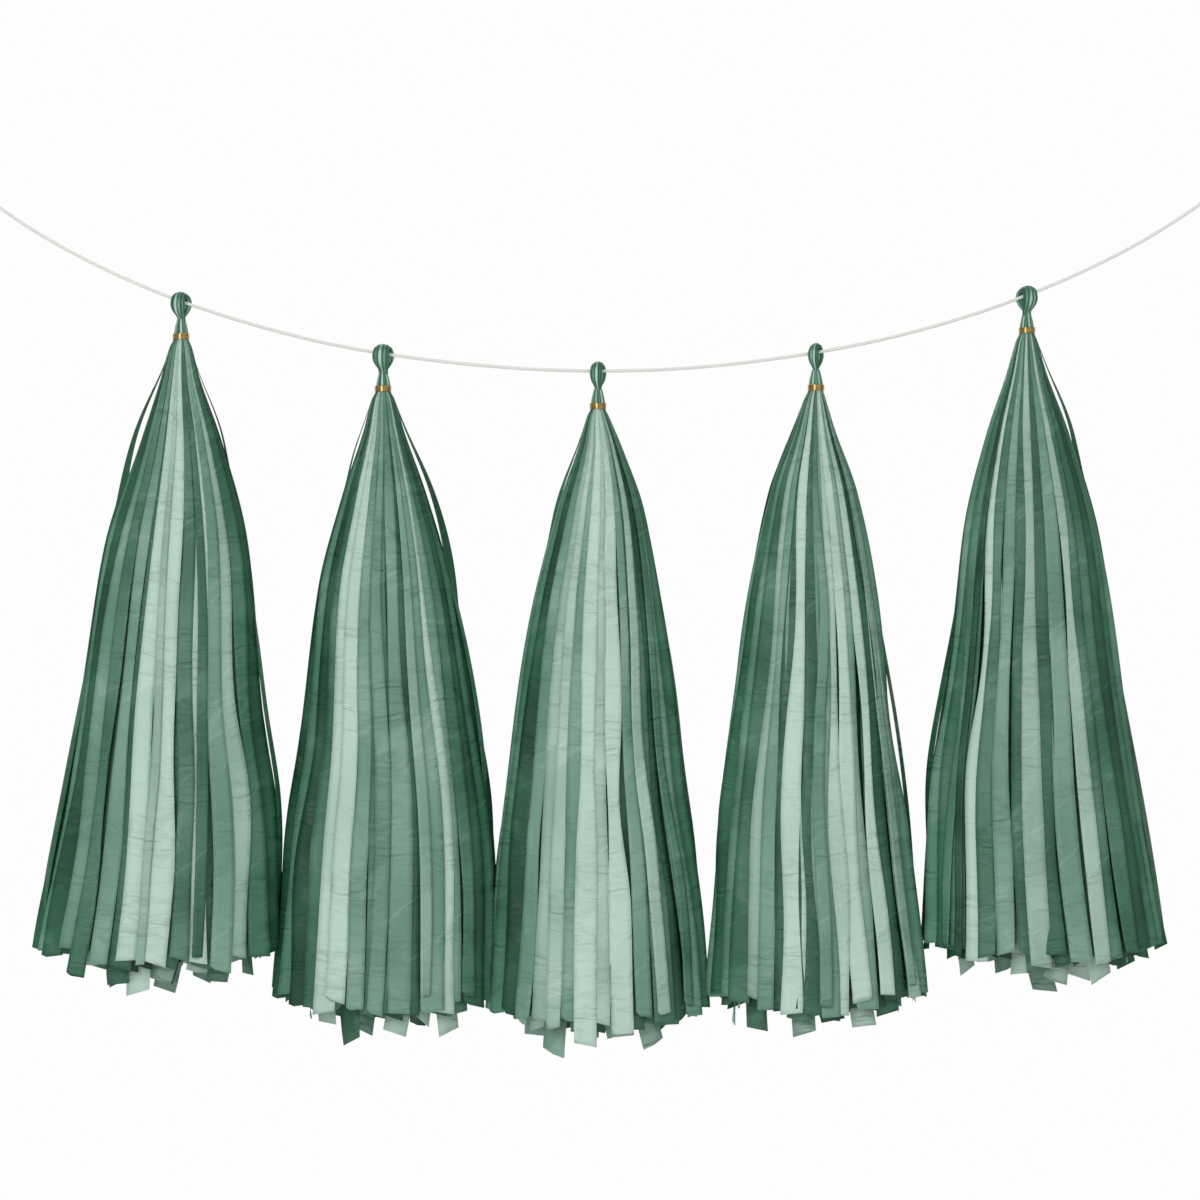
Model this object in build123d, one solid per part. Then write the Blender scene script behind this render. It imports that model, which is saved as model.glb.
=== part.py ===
from build123d import *
import math
import os

# A garland of five paper tassels on a sagging cord, which has a tied hanging loop at each end.
# Millimetres, +Z up, seen along +Y. The origin is the middle of the left hanging loop's eye.
# Each tassel is three sheets of satin paper, one inside another, cut into strips, gathered, bound by
# a band and looped over the cord. Its head slides along the cord, and its skirt swings fore and aft
# about the pinched waist between the two.

# Cord: its route from the left knot to the right one, as points in X and Z
cord_diameter = 1.7
cord_route = [
    (16, -12), (34, -25.5), (64, -43.8), (104, -62.8), (149, -78.4), (199, -91.2), (254, -99.1),
    (309, -103.2), (364, -102.7), (419, -97), (469, -88), (514, -75.7), (554, -60.9), (591, -43.6),
    (621, -25.6), (642, -10.5),
]
arc_share = 0.45  # of the shorter run beside a corner, taken up by the corner's arc

# Knots and hanging loops: the loop's points run away from the knot and across, out and back
knot_length = 5
knot_radius = 2.6
knot_waist_radius = 2.0
knot_wraps = 3
loop_route = [
    (0, 0.95), (5, 0.95), (11, 4.4), (18, 5.8), (22.8, 2.9),
    (22.8, -2.9), (18, -5.8), (11, -4.4), (5, -0.95), (0, -0.95),
]

# Tassels: where each head hangs on the cord, in X, and the size of each head and skirt
tassel_places = [119.5, 220.5, 328, 437, 542.5]
head_widths = [11, 11, 8.2, 7.8, 11.4]
end_reaches = [71.5, 69]  # how far the end tassels' hems reach outward from their heads
skirt_clearance = 1  # between one skirt's hem and the next, midway between their heads

# Head: a gathered balloon of folded paper, from its top down to the pinched waist
head_rise = 5  # from the cord's centre line to the head's top
waist_drop = 9  # from the cord's centre line to the waist, where the skirt swings
head_depth = 11
waist_width = 4.5
head_level_shares = [0, 0.05, 0.15, 0.36, 0.57, 0.79]  # of the way from top to waist
head_bulge_shares = [0.16, 0.47, 0.8, 1, 0.89, 0.62]  # of the head's own width and depth
head_folds = 10
fold_share = 0.12  # how far a fold stands out, as a share of the half width
tip_level_shares = [0.66, 0.96]  # of the waist's half width, below the waist
tip_width_shares = [0.68, 0.2]  # of the waist's width
eye_width = 4
eye_height = 5.6
seat_clearance = 0.3  # between the cord and the top of the eye

# Neck and band
band_height = 3
band_wall = 0.35
band_edge = 0.12
band_drop = 16  # from the cord's centre line to the band's top
neck_radius = 3.85
neck_top_radius = 2.8
neck_clearance = 0.3  # between the head's tip and the neck's flat top
band_clearance = 0.05
neck_below_band = 1
neck_wall = 0.8  # of the outer and middle sheets where they are gathered
neck_gap = 0.1  # between one gathered sheet and the next
neck_cap = 3.95  # solid paper above the bore of the outer sheet's neck

# Skirt: strips that flare from the neck to the hem
skirt_length = 324  # from the cord's centre line to the hem's lowest outer strips
skirt_depth = 76  # front to back, at the hem
strip_thickness = 0.2
strip_root = 0.5  # how far a strip starts inside the gathered neck
flare_level_shares = [0.04, 0.12, 0.21, 0.34, 0.54, 0.77, 1]
flare_width_shares = [0.14, 0.275, 0.435, 0.6, 0.73, 0.88, 1]
strip_cover_share = 0.8  # of the room round the skirt that each strip fills
corner_share = 0.014  # how far a flat strip's corners stand out past the oval, of its half width
side_lift = 12  # how much higher the hem is at the skirt's sides
ragged_length = 4  # how much one strip's end differs from the next
rag_step = 2.4  # radians from one strip to the next in the ragged hem's wave

# Sheets: how many strips each has, how far in it lies and how much longer it hangs
sheet_names = ["outer", "middle", "inner"]
strip_counts = [20, 20, 16]
sheet_width_shares = [1, 0.9, 0.76]
sheet_drops = [0, 4, 9]

full_turn = 2 * math.pi
halvings = 40  # of the cord, to find a hanging place on it
os.makedirs("parts", exist_ok=True)


def corner_radii(points):
    """The radius of each corner's arc along a route of straight runs."""
    radii = []
    for before, corner, after in zip(points, points[1:], points[2:]):
        into, out = Vector(*corner) - Vector(*before), Vector(*after) - Vector(*corner)
        half_turn = math.radians(into.get_angle(out)) / 2
        radii.append(arc_share * min(into.length, out.length) / math.tan(half_turn))
    return radii


def tube(name, points):
    """A cord along straight runs joined by tangent arcs, with its path."""
    radii = corner_radii(points)
    path = FilletPolyline(*points, radius=radii)
    start = Plane(origin=path @ 0, z_dir=path % 0)
    solid = sweep(start * Circle(cord_diameter / 2), path=path)
    section = math.pi * cord_diameter**2 / 4
    print(name, "length", round(path.length, 1), "radii", [round(r, 1) for r in radii])
    print(name, "volume over section times length", round(solid.volume / (section * path.length), 4))
    return solid, path


def share_at(path, x):
    """How far along the cord a place in X lies, from 0 to 1."""
    low, high = 0, 1
    for _ in range(halvings):
        middle = (low + high) / 2
        if (path @ middle).X < x:
            low = middle
        else:
            high = middle
    return low


def end_plane(end, along):
    """Z runs away from the cord's end, X lies across it in the upright plane."""
    across = Vector(0, 1, 0).cross(along)
    return Plane(origin=end, x_dir=across, z_dir=along)


def knot():
    """A barrel knot of round wraps, standing on its own base with Z along the cord."""
    wrap = knot_length / knot_wraps
    outline = Line((0, 0), (knot_waist_radius, 0))
    for n in range(knot_wraps):
        low, high = n * wrap, (n + 1) * wrap
        start, end = (knot_waist_radius, low), (knot_waist_radius, high)
        outline += ThreePointArc(start, (knot_radius, (low + high) / 2), end)
    outline += Line((knot_waist_radius, knot_length), (0, knot_length))
    outline += Line((0, knot_length), (0, 0))
    return revolve(Plane.XZ * make_face(outline), axis=Axis.Z)


def hanging_loop(name):
    """The cord's end turned back on itself, from the knot's far face."""
    points = [(across, 0, knot_length + away) for away, across in loop_route]
    return tube(name, points)[0]


def gathered_outline(width, depth):
    """A closed outline of round folds on an oval."""
    step = full_turn / head_folds

    def oval(turn, share):
        return (share * width / 2 * math.cos(turn), share * depth / 2 * math.sin(turn))

    folds = [
        ThreePointArc(oval(n * step, 1 - fold_share), oval((n + 1 / 2) * step, 1),
                      oval((n + 1) * step, 1 - fold_share))
        for n in range(head_folds)
    ]
    return make_face(Curve() + folds)


def head(width, slope):
    """The balloon of folded paper, with the eye that the cord runs through along its slope."""
    height = head_rise + waist_drop
    sections = []
    for level, bulge in zip(head_level_shares, head_bulge_shares):
        plane = Plane.XY.offset(head_rise - level * height)
        sections.append(plane * gathered_outline(bulge * width, bulge * head_depth))
    sections.append(Plane.XY.offset(-waist_drop) * gathered_outline(waist_width, waist_width))
    for level, share in zip(tip_level_shares, tip_width_shares):
        plane = Plane.XY.offset(-waist_drop - level * waist_width / 2)
        sections.append(plane * gathered_outline(share * waist_width, share * waist_width))
    body = loft(sections, ruled=True)
    eye_middle = cord_diameter / 2 + seat_clearance - eye_height / 2
    along = Plane(origin=(0, 0, 0), x_dir=(0, 1, 0), z_dir=(1, 0, slope))
    eye = extrude(along * Pos(0, eye_middle) * SlotOverall(eye_height, eye_width, rotation=90),
                  amount=width, both=True)
    return body - eye


def band():
    """The metal band round the gathered neck."""
    inner = neck_radius + band_clearance
    ring = Circle(inner + band_wall) - Circle(inner)
    solid = extrude(Plane.XY.offset(-band_drop - band_height) * ring, amount=band_height)
    return chamfer(solid.edges().filter_by(GeomType.CIRCLE), band_edge)


def gathered_neck(sheet):
    """The sheet's gathered part: a sleeve with a closed top, or a plain core for the inner sheet."""
    bottom = -band_drop - band_height - neck_below_band
    outer = neck_radius - sheet * (neck_wall + neck_gap)
    bore = outer - neck_wall
    if sheet == 0:
        top = -waist_drop - waist_width / 2 - neck_clearance
        cap = neck_cap
        outline = [(0, top), (neck_top_radius, top), (outer, -band_drop), (outer, bottom)]
    else:
        cap = neck_wall
        top = -waist_drop - waist_width / 2 - neck_clearance - neck_cap
        top -= neck_gap + (sheet - 1) * (neck_wall + neck_gap)
        outline = [(0, top), (outer, top), (outer, bottom)]
    if sheet < len(sheet_names) - 1:
        outline += [(bore, bottom), (bore, top - cap), (0, top - cap)]
    else:
        outline += [(0, bottom)]
    solid = revolve(Plane.XZ * make_face(Polyline(*outline, close=True)), axis=Axis.Z)
    return solid, (outer + bore) / 2, bottom


def flat_faced(sections):
    """A solid through four-cornered sections, with a flat face between each pair of their sides."""
    outlines = [sections[0], sections[-1]]
    for upper, lower in zip(sections, sections[1:]):
        for corner in range(len(upper)):
            after = (corner + 1) % len(upper)
            outlines.append([upper[corner], upper[after], lower[after], lower[corner]])
    return Solid(Shell([Face(Wire.make_polygon(outline)) for outline in outlines]))


def strip(sheet, number, reach, root_radius, root_bottom):
    """One tapering paper strip, from inside the gathered neck down to the hem."""
    count = strip_counts[sheet]
    left, right = reach
    lean = (left + right) / 2  # how far the hem's middle stands from the head
    half_width = sheet_width_shares[sheet] * (right - left) / 2 / (1 + corner_share)
    half_depth = sheet_width_shares[sheet] * skirt_depth / 2
    even = (number + (sheet + 1) / 2) * full_turn / count  # strips cover the gaps of the sheet outside
    crowding = (half_width - half_depth) / (half_width + half_depth) / 2
    turn = even + crowding * math.sin(2 * even)  # spaces the strips evenly round the oval
    out_x, out_y = math.cos(turn), math.sin(turn)
    across = Vector(-half_width * out_y, half_depth * out_x).normalized()
    outward = across.cross(Vector(0, 0, 1))
    pitch = full_turn * math.sqrt((half_width**2 + half_depth**2) / 2) / count
    hem = -skirt_length - sheet_drops[sheet] + side_lift * out_x**2
    wave = abs(math.pi - even) * count / full_turn  # front and back match, so the skirt hangs plumb
    hem += ragged_length * math.sin(rag_step * wave + sheet)
    top = root_bottom + strip_root

    def section(x, y, z, share):
        """The four corners of the strip at one height."""
        side = across * (share * strip_cover_share * pitch / 2)
        skin = outward * (strip_thickness / 2)
        middle = Vector(x, y, z)
        return [middle - side - skin, middle + side - skin, middle + side + skin, middle - side + skin]

    sections = [section(root_radius * out_x, root_radius * out_y, top, root_radius / half_width)]
    for level, share in zip(flare_level_shares, flare_width_shares):
        x = share * half_width * out_x + lean * level**2
        y = share * half_depth * out_y
        sections.append(section(x, y, top + level * (hem - top), share))
    return flat_faced(sections)


def fringed_sheet(sheet, reach):
    """A sheet as one solid: its gathered neck with all of its strips."""
    neck, root_radius, bottom = gathered_neck(sheet)
    strips = [
        strip(sheet, number, reach, root_radius, bottom)
        for number in range(strip_counts[sheet])
    ]
    return neck + strips


def hem_reach(number):
    """How far a skirt's hem reaches left and right of its head, up to midway to its neighbours."""
    place = tassel_places[number]
    left, right = -end_reaches[0], end_reaches[1]
    if number > 0:
        left = (tassel_places[number - 1] - place + skirt_clearance) / 2
    if number < len(tassel_places) - 1:
        right = (tassel_places[number + 1] - place - skirt_clearance) / 2
    return left, right


def save(solid, name):
    solid.label = name
    export_step(solid, f"parts/{name}.step")


cord, cord_path = tube("cord", [(x, 0, z) for x, z in cord_route])
save(cord, "cord")

for side, end, along in (
    ("left", cord_path @ 0, -(cord_path % 0)),
    ("right", cord_path @ 1, cord_path % 1),
):
    place = end_plane(end, along)
    save(place * knot(), f"knot_{side}")
    save(place * hanging_loop(f"hanging_loop_{side}"), f"hanging_loop_{side}")

for number, x in enumerate(tassel_places):
    share = share_at(cord_path, x)
    direction = cord_path % share
    hanger = cord_path @ share
    place = Pos(*hanger)
    name = f"tassel_{number + 1}"
    print(name, "hangs at X", round(hanger.X, 2), "Z", round(hanger.Z, 2))
    save(place * head(head_widths[number], direction.Z / direction.X), f"{name}_head_loop")
    save(place * band(), f"{name}_band")
    for sheet, sheet_name in enumerate(sheet_names):
        solid = fringed_sheet(sheet, hem_reach(number))
        save(place * solid, f"{name}_{sheet_name}_sheet")
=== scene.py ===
import math
import random
from dataclasses import dataclass
import bpy
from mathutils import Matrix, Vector


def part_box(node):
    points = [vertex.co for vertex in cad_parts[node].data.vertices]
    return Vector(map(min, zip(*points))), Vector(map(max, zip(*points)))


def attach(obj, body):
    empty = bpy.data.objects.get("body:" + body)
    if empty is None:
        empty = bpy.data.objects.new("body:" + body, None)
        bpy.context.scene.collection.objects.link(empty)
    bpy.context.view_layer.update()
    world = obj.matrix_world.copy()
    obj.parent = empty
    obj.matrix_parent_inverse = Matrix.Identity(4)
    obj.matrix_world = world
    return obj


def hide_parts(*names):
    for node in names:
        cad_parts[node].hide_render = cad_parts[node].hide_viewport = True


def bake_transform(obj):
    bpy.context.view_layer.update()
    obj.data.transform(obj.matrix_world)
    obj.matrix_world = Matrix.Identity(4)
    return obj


# A garland of five satin paper tassels on a sagging cotton cord. Lengths are in millimetres and are
# turned into metres where a mesh is made. A tassel's own sizes are counted from the place on the cord
# where its head hangs: a drop runs down from it, and reaches run left and right of it.

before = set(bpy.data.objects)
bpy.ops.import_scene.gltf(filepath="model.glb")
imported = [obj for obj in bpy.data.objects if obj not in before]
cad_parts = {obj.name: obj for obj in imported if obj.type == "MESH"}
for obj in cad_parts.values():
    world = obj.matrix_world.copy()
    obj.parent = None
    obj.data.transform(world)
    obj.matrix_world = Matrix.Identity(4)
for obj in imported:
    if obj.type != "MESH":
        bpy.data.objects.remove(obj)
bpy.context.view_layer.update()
mm = 0.001
full_turn = 2 * math.pi

# Camera, set where the photograph was taken from
frame_width = 600
frame_middle = (329, -217.5)
camera_distance = 6000
sensor_width = 36

# Cord: its route from the left knot to the right one, as points in X and Z
cord_diameter = 1.7
cord_route = [
    (16, -12), (34, -25.5), (64, -43.8), (104, -62.8), (149, -78.4), (199, -91.2), (254, -99.1),
    (309, -103.2), (364, -102.7), (419, -97), (469, -88), (514, -75.7), (554, -60.9), (591, -43.6),
    (621, -25.6), (642, -10.5),
]
knot_length = 5
knot_wraps = 3
wrap_radius = 1.75
wrap_points = 12

# A hanging loop: how far from the knot, and how far to the side
loop_route = [
    (0, 0.95), (5, 0.95), (11, 4.4), (18, 5.8), (22.8, 2.9),
    (22.8, -2.9), (18, -5.8), (11, -4.4), (5, -0.95), (0, -0.95),
]

# Twist of the cord's own strands
strand_count = 3
strand_radius = 0.57
strand_offset = 0.3
strand_pitch = 4.6
strand_sides = 8
strand_steps = 14

# Heads: width of the loop's strands, how many degrees the loop is turned about its upright axis, and
# how far its two strands go aside at the waist, one each way
head_rise = 5  # of its top over the cord
head_strands = {
    1: (8.2, 30, 0.9),
    2: (9, 20, 0.7),
    3: (6.6, 16, 0.5),
    4: (5.6, 24, 0.6),
    5: (8.5, -30, -0.9),
}

# A head's loop, from the waist in front over the cord: depth, height, share of the width, half thickness
head_path = [
    (0.8, -10.4, 0.46, 0.95), (0.95, -9.2, 0.5, 0.95), (1.6, -7.4, 0.62, 1.05), (2.7, -4.8, 0.88, 1.15),
    (3.4, -2.2, 1.0, 1.2), (3.35, 0.2, 0.99, 1.25), (2.2, 2.3, 0.9, 1.5), (0, 3.1, 0.82, 1.8),
]
head_steps = 30
head_folds = 10
head_fold_depth = 0.2
head_twist = 1.1  # radians that the folds wind round the strand on their way over the cord
eye_height = -3  # of the middle of the eye that the cord passes through
cross_drop, cross_length = 3, 6  # where the strands start to go aside, and over what length
cord_lean, lean_height = 0.35, 3  # share of the cord's slope that a head follows from that height up
fold_points = 8  # round each fold, of a neck too

# Light on a head: how bright it is, how much less so at its sides in front, over its top and in the
# valleys, and a soft bright patch in front, as its strength, half width, height and half height
head_bright = 1.25
head_dark_sides = 0.6
head_dark_top = 0.45
head_dark_valley = 0.05
top_start, top_length = 0.5, 3.5
glow_strength, glow_wide, glow_height, glow_tall = 0.5, 0.45, -2.2, 3.2

# Neck between the waist and the band: drop and radius
neck_levels = [(8.2, 1.5), (9.2, 2.1), (11, 2.6), (13.5, 3.2), (16, 3.6), (19.3, 3.65), (22, 4.2)]
neck_steps = 26
neck_folds = 12
neck_fold_depth = 0.22
neck_twist = 0.9
# Painted shade in the neck's fold valleys: the share of its tone that the deepest valley keeps
neck_valley_shade = 0.15

# Skirts: how far they reach to the left and to the right, and to the front, at a few drops
outline_drops = (16, 19.3, 23, 40, 70, 120, 200, 250, 325)
reaches = {
    1: ((3.6, 3.8, 5.8, 10.6, 20, 35.2, 48.4, 57.2, 70.5),
        (3.6, 3.8, 5.4, 9.8, 19.8, 32.8, 39.6, 46.5, 50.5)),
    2: ((3.6, 3.8, 5.8, 10.3, 20, 32.4, 40.3, 47.5, 55.5),
        (3.6, 3.8, 5.8, 11, 21, 34, 47.4, 53.5, 57.5)),
    3: ((3.6, 3.8, 5.6, 10.5, 20.8, 32.6, 43.3, 50, 56),
        (3.6, 3.8, 5.6, 12.7, 22.8, 31.2, 41.4, 49, 56)),
    4: ((3.6, 3.8, 5.7, 11.8, 23.2, 33.4, 42.8, 49.6, 55.5),
        (3.6, 3.8, 4.9, 10, 20.2, 30.2, 40, 47, 56)),
    5: ((3.6, 3.8, 5.6, 10.5, 20.2, 31.6, 40.4, 47.6, 52.5),
        (3.6, 3.8, 5.3, 10.2, 21, 35.2, 45.8, 54, 68.5)),
}
front_reaches = (3.5, 3.7, 4.8, 9, 15, 22.5, 29, 32, 36.5)
reference_drop = 275  # where a skirt's full width is taken
strips_start = 17
hem_drops = {1: 331, 2: 328, 3: 326, 4: 328, 5: 332}
hem_lift = 9  # how much shorter the strips hang at a skirt's sides
hem_uneven = 3.5

# Tones of the paper, from 0 in deep folds to 1 in full light
dark, middling, soft_light, light, pale = 0.3, 0.5, 0.68, 0.78, 0.98

# Tones that chance gives: to strips at a skirt's sides, darker there as painted shade, to those in its middle
# and to gathered folds
shaded_side_tones = (0.08, 0.55)
middle_tones = (0.12, 0.42, 0.62, 0.8)
middle_tone_spread = 0.2
least_contrast = 0.14  # between strips side by side
fold_tone, fold_tone_spread = 0.4, 0.12

# The strips that stand out on each tassel, left to right: place across the skirt from -1 to 1, width
# that shows at the hem, tone, and how much lower the strip hangs. Chance fills the room between them.
noted_strips = {
    1: [(-0.66, 9, dark, 10), (-0.48, 9, middling, 0), (-0.27, 10.5, pale, 0), (-0.04, 13.5, pale, 0),
        (0.15, 9.5, dark, 0), (0.51, 10.5, middling, 6), (0.82, 11, dark, 0)],
    2: [(-0.45, 10, pale, 0), (-0.28, 8.5, middling, 0), (0.12, 12, middling, -2),
        (0.43, 12, middling, 0), (0.76, 8, dark, 0)],
    3: [(-0.67, 8.5, middling, 0), (-0.4, 7.5, light, 3), (-0.11, 11, pale, 13), (0.22, 11, pale, 4),
        (0.4, 8, middling, 0), (0.57, 10.5, dark, 0), (0.84, 9, middling, 0)],
    4: [(-0.47, 8, middling, 0), (-0.23, 11, pale, 3), (0.11, 9, middling, 0), (0.39, 9.5, pale, 0),
        (0.63, 7.5, pale, -3), (0.86, 8, light, 0)],
    5: [(-0.74, 8, dark, 0), (-0.5, 9, dark, 0), (-0.32, 9, middling, 0), (-0.04, 10.5, soft_light, 2),
        (0.3, 11, middling, 3), (0.47, 8, light, 0), (0.72, 8, dark, 0)],
}

# How the strips lie. Those between the noted ones lie partly under their neighbours. A place is a share
# of a skirt's half width, counted from its middle.
full_width = 12
hidden_width = 0.95 * full_width
shown_width = 7.4  # of a strip that lies partly under its neighbour, on average
narrow_share = 0.6  # of that width, from the next place outwards
narrow_from = 0.6
# Painted shade: from this place outwards, strips get the darker tones of the sides
dark_from = 0.7  # place from which strips have the tones of the sides
least_room = 2.5  # that is filled with a strip
overlap = 0.3  # by which a noted strip is wider than what shows of it
outermost = 0.96  # place of a strip's middle
rim = 0.97  # place from which strips look no narrower
turned_share = 0.65  # of the turn at its place, by which a strip looks narrower from the front
parting = 3.4  # the most that a strip bends aside, so that a dark gap opens
noted_parting = 0.4  # share of that for a noted strip
stand_out = 0.55  # of a noted strip, in front of the ones next to it
layer_step = 0.18  # that each further strip lies deeper than the one before
slat_tilt, side_tilt = 0.04, 0.5  # everywhere, and added towards the sides
noted_manner = {"crowd": 1.02, "curl": 0.3, "pinch": 0.45}
hidden_manner = {"curl": 0.15, "pinch": 0.15}

# Strips that hang a little across the others and in front of them, on the front and on the back
stray_strips = 2
stray_places = (-0.85, 0.85)
stray_widths = (3.5, 8)
stray_tones = (0.05, 0.95)
stray_shorter = (0, 8)
stray_gap = 0.7  # in depth, from one to the next
stray_loose = 1.4

# Strips right at a skirt's sides, and the place of its loose ribbons, in degrees from the front
side_strips = (84, 97)
side_share = 0.97
# Their tones are dark, as painted shade at the skirt's sides
shaded_side_strip_tones = (0.15, 0.4)
ribbon_place = 80

# What chance gives each strip: waves down its length and a sway about it, each as lengths and rises, the
# stretches on which it bends aside and on which it narrows, each as starts and lengths, and its painted
# sheen, a slow wave of paler and darker tone down its length
own_lengths, own_rises = (90, 210), (0.1, 0.5)
sway_lengths, sway_rises = (80, 200), (0.005, 0.02)
parted_from, parted_for = (50, 220), (110, 200)
pinched_from, pinched_for = (40, 220), (90, 170)
shading_lengths, shading_rise = (60, 160), 0.05
cut_notch = 1.5  # at a corner of some cut ends

# Narrow ribbons that hang loose beside a skirt: side, first and last drop of the stretch where they hang
# clear, how far out they are there, width, tone, and how far they are turned to the front
loose_ribbons = {
    1: [(-1, 30, 104, 4.2, 9, 0.12, 0.85), (1, 30, 90, 2.2, 3, 0.1, 0.85),
        (-1, 150, 350, 4, 5, 0.2, 0.3), (1, 150, 310, 4, 4, 0.3, 0.3)],
    2: [(1, 26, 132, 4.6, 8, 0.12, 0.85), (-1, 26, 66, 1.6, 4, 0.15, 0.85),
        (1, 90, 250, 4, 4, 0.3, 0.3)],
    3: [(-1, 28, 90, 1.6, 5, 0.25, 0.85), (1, 100, 260, 3, 4, 0.2, 0.3)],
    4: [(-1, 26, 74, 0.8, 4, 0.12, 0.85), (1, 130, 290, 3, 4, 0.15, 0.3)],
    5: [(1, 24, 92, 2.8, 7, 0.15, 0.85), (-1, 150, 275, 4.2, 4, 0.1, 0.5),
        (1, 160, 345, 4, 5, 0.15, 0.3)],
}

# Sheets under the outer one: layers of strips, each as their number all round, share of the skirt's
# width, how much longer they hang, darkest and lightest tone; how far the strips' ends splay and how
# much they curl; and the paper's slot
under_sheets = {
    # The middle sheet's strips and the innermost layer get dark tones, painted shade for the deep gaps
    # between the outer strips
    "middle": ([(26, 0.87, 2, 0.0, 0.4)], 3, 0.2, "sage_paper"),
    "inner": ([(18, 0.72, 9, 0.1, 0.95), (9, 0.42, 3, 0.0, 0.25)], 7, 0.5, "forest_paper"),
}

# A strip's paper: its thickness, the length of its free end and the stretch below the band on which its
# own tone sets in
paper_thickness = 0.14
free_end = 45
tone_stretch = 110

# Floor and light
floor_drop = 640
floor_radius = 1500
floor_solid_share = 0.6  # of the radius, before it fades out
room_strength = 0.5

# Soft lamps like windows: name, place and size in metres, power in watts
lamps = [
    ("window_high", (-0.5, -2.8, 1.0), 1.5, 39),
    ("window_low", (-0.6, -2.8, -0.2), 0.85, 8),
    ("window_right", (2.2, -2.4, -0.3), 3.2, 10),
    ("window_back", (-0.4, 2.8, 0.9), 1.8, 30),
    ("window_above", (0.33, 0.2, 2.6), 3, 14),
]

random_seed = 7


def hex_colour(code):
    """An sRGB hex colour as linear values for a shader."""
    channels = [int(code[n:n + 2], 16) / 255 for n in (0, 2, 4)]
    linear = [c / 12.92 if c <= 0.04045 else ((c + 0.055) / 1.055) ** 2.4 for c in channels]
    return (*linear, 1)


def per_metre(size):
    """A texture scale that makes its pattern this many millimetres large."""
    return 1 / (size * mm)


def add_node(tree, kind, settings=None, inputs=None):
    """A shader node with its settings, and its sockets given values or linked."""
    made = tree.nodes.new(kind)
    for name, value in (settings or {}).items():
        setattr(made, name, value)
    for name, value in (inputs or {}).items():
        if isinstance(value, bpy.types.NodeSocket):
            tree.links.new(value, made.inputs[name])
        else:
            made.inputs[name].default_value = value
    return made


def set_stops(ramp, stops):
    """Gives a colour ramp its stops, as places and hex colours."""
    elements = ramp.color_ramp.elements
    while len(elements) > 1:
        elements.remove(elements[-1])
    elements[0].position = stops[0][0]
    elements[0].color = hex_colour(stops[0][1])
    for place, code in stops[1:]:
        elements.new(place).color = hex_colour(code)


def new_material(name):
    """A material with an empty node tree, its output and its main shader."""
    made = bpy.data.materials.new(name)
    made.use_nodes = True
    tree = made.node_tree
    tree.nodes.clear()
    shader = add_node(tree, "ShaderNodeBsdfPrincipled")
    add_node(tree, "ShaderNodeOutputMaterial", inputs={"Surface": shader.outputs[0]})
    return made, tree, shader


def patches(tree, paper, wide, tall, start, end):
    """Soft patches of the paper where something shows, of about that size in millimetres."""
    stretched = add_node(tree, "ShaderNodeMapping", inputs={
        "Vector": paper, "Location": (7.3, 2.9, 0), "Scale": (1 / wide, 1 / tall, 1)})
    field = add_node(tree, "ShaderNodeTexNoise", {"noise_dimensions": "2D"}, {
        "Vector": stretched.outputs[0], "Scale": 1.0, "Detail": 1.0})
    return add_node(tree, "ShaderNodeMapRange", {"interpolation_type": "SMOOTHSTEP"}, {
        "Value": field.outputs[0], "From Min": start, "From Max": end}).outputs[0]


def lines_across(tree, paper, wide, tall, thin, shown):
    """Thin lines that wander over the paper: the level lines of a noise of that size in millimetres, as
    strong as the patches in which they are shown."""
    stretched = add_node(tree, "ShaderNodeMapping", inputs={
        "Vector": paper, "Scale": (1 / wide, 1 / tall, 1)})
    field = add_node(tree, "ShaderNodeTexNoise", {"noise_dimensions": "2D"}, {
        "Vector": stretched.outputs[0], "Scale": 1.0, "Detail": 1.0, "Roughness": 0.4})
    middle = add_node(tree, "ShaderNodeMath", {"operation": "SUBTRACT"}, {0: field.outputs[0], 1: 0.5})
    away = add_node(tree, "ShaderNodeMath", {"operation": "ABSOLUTE"}, {0: middle.outputs[0]})
    return add_node(tree, "ShaderNodeMapRange", {"interpolation_type": "SMOOTHSTEP"}, {
        "Value": away.outputs[0], "From Min": 0.0, "From Max": thin, "To Min": shown,
        "To Max": 0.0}).outputs[0]


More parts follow.
